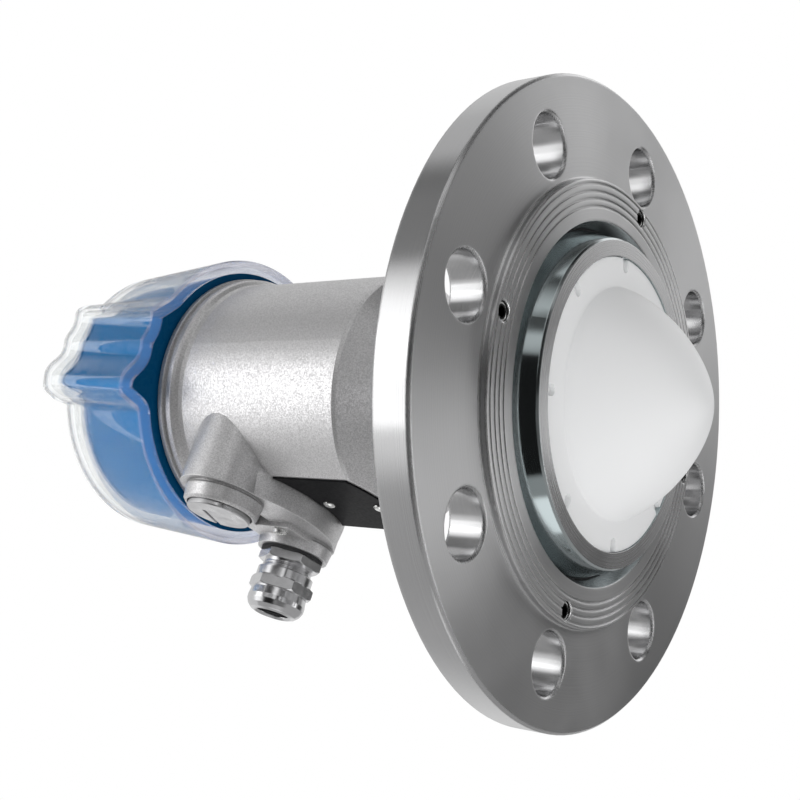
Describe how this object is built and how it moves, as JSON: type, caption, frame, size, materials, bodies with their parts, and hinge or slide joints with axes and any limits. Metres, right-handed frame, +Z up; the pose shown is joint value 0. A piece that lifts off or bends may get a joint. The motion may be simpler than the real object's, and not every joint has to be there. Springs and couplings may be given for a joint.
{
  "type": "radar level transmitter",
  "caption": "Non-contact radar level transmitter: round bolted flange with a domed lens antenna, cylindrical cast housing, cable gland, blind plug and lobed screw cover.",
  "frame": {"origin": "centre of the raised sealing face of the flange, on the antenna axis", "axes": "+Z up along the antenna axis from the sealing face to the cover, the lens points to -Z; the cable entries and the rating plate face -Y"},
  "size_m": [0.235, 0.235, 0.2706],
  "materials": {
    "turned_steel": "turned stainless steel",
    "polished_steel": "polished stainless steel",
    "screw_steel": "plain steel",
    "bright_steel": "bright plated steel",
    "nickel": "nickel-plated brass",
    "plug_metal": "satin metal",
    "guide_metal": "satin",
    "silver_coating": "silver powder coat with a fine sparkle",
    "black_plate": "satin black",
    "white_ptfe": "smooth, slightly waxy",
    "black_rubber": "matt",
    "black_plastic": "matt",
    "green_board": "satin",
    "terminal_green": "satin",
    "display_grey": "glossy window",
    "key_grey": "satin",
    "blue_plastic": "glossy opaque blue",
    "clear_plastic": "clear colourless plastic"
  },
  "bodies": {
    "process_connection": {"flange": "turned_steel", "recess_seal": "black_rubber", "antenna_ring": "polished_steel", "lens": "white_ptfe", "lens_seal": "black_rubber", "set_screws": "screw_steel", "process_adapter": "turned_steel", "feed_horn": "guide_metal", "waveguide": "guide_metal", "neck_seal": "black_rubber", "retaining_ring": "screw_steel"},
    "housing_body": {"housing": "silver_coating", "swivel_screw": "screw_steel", "nameplate": "black_plate", "plate_rivets": "bright_steel", "ground_screw": "bright_steel", "ground_clamp": "bright_steel", "rf_board": "green_board", "electronics_module": "black_plastic", "terminal_block": "terminal_green", "terminal_screws": "bright_steel", "terminal_tabs": "guide_metal", "display_frame": "black_plastic", "display_module": "black_plastic", "display_window": "display_grey", "display_keys": "key_grey", "gland_washer": "black_rubber", "gland_body": "nickel"},
    "cover_ring": {"cover_seal": "black_rubber"},
    "cover": {"blue_cover": "blue_plastic", "clear_shell": "clear_plastic"},
    "gland_insert": {"gland_grommet": "black_rubber"},
    "gland_cap": {"gland_nut": "nickel"},
    "plug_ring": {"plug_seal": "black_rubber"},
    "plug": {"blind_plug": "plug_metal"}
  },
  "joints": [
    {"name": "housing_swivel", "type": "hinge", "parent": "process_connection", "child": "housing_body", "pos_m": [0, 0, 0.078], "axis": [0, 0, 1], "range_deg": [-175, 175]},
    {"name": "cover_lift", "type": "slide", "parent": "housing_body", "child": "cover_ring", "axis": [0, 0, 1], "range_m": [0, 0.048]},
    {"name": "cover_turn", "type": "hinge", "parent": "cover_ring", "child": "cover", "pos_m": [0, 0, 0.186], "axis": [0, 0, 1], "range_deg": [0, 4320]},
    {"name": "gland_out", "type": "slide", "parent": "housing_body", "child": "gland_insert", "axis": [0, -1, 0], "range_m": [0, 0.0105]},
    {"name": "gland_turn", "type": "hinge", "parent": "gland_insert", "child": "gland_cap", "pos_m": [-0.0245, -0.074, 0.145], "axis": [0, -1, 0], "range_deg": [0, 2520]},
    {"name": "plug_out", "type": "slide", "parent": "housing_body", "child": "plug_ring", "axis": [0, -1, 0], "range_m": [0, 0.0165]},
    {"name": "plug_turn", "type": "hinge", "parent": "plug_ring", "child": "plug", "pos_m": [0.0245, -0.055, 0.145], "axis": [0, -1, 0], "range_deg": [0, 3960]}
  ],
  "couplings": [
    {"joint": "cover_lift", "follows": "cover_turn", "m_per_rad": 0.00063662},
    {"joint": "gland_out", "follows": "gland_turn", "m_per_rad": 0.00023873},
    {"joint": "plug_out", "follows": "plug_turn", "m_per_rad": 0.00023873}
  ]
}
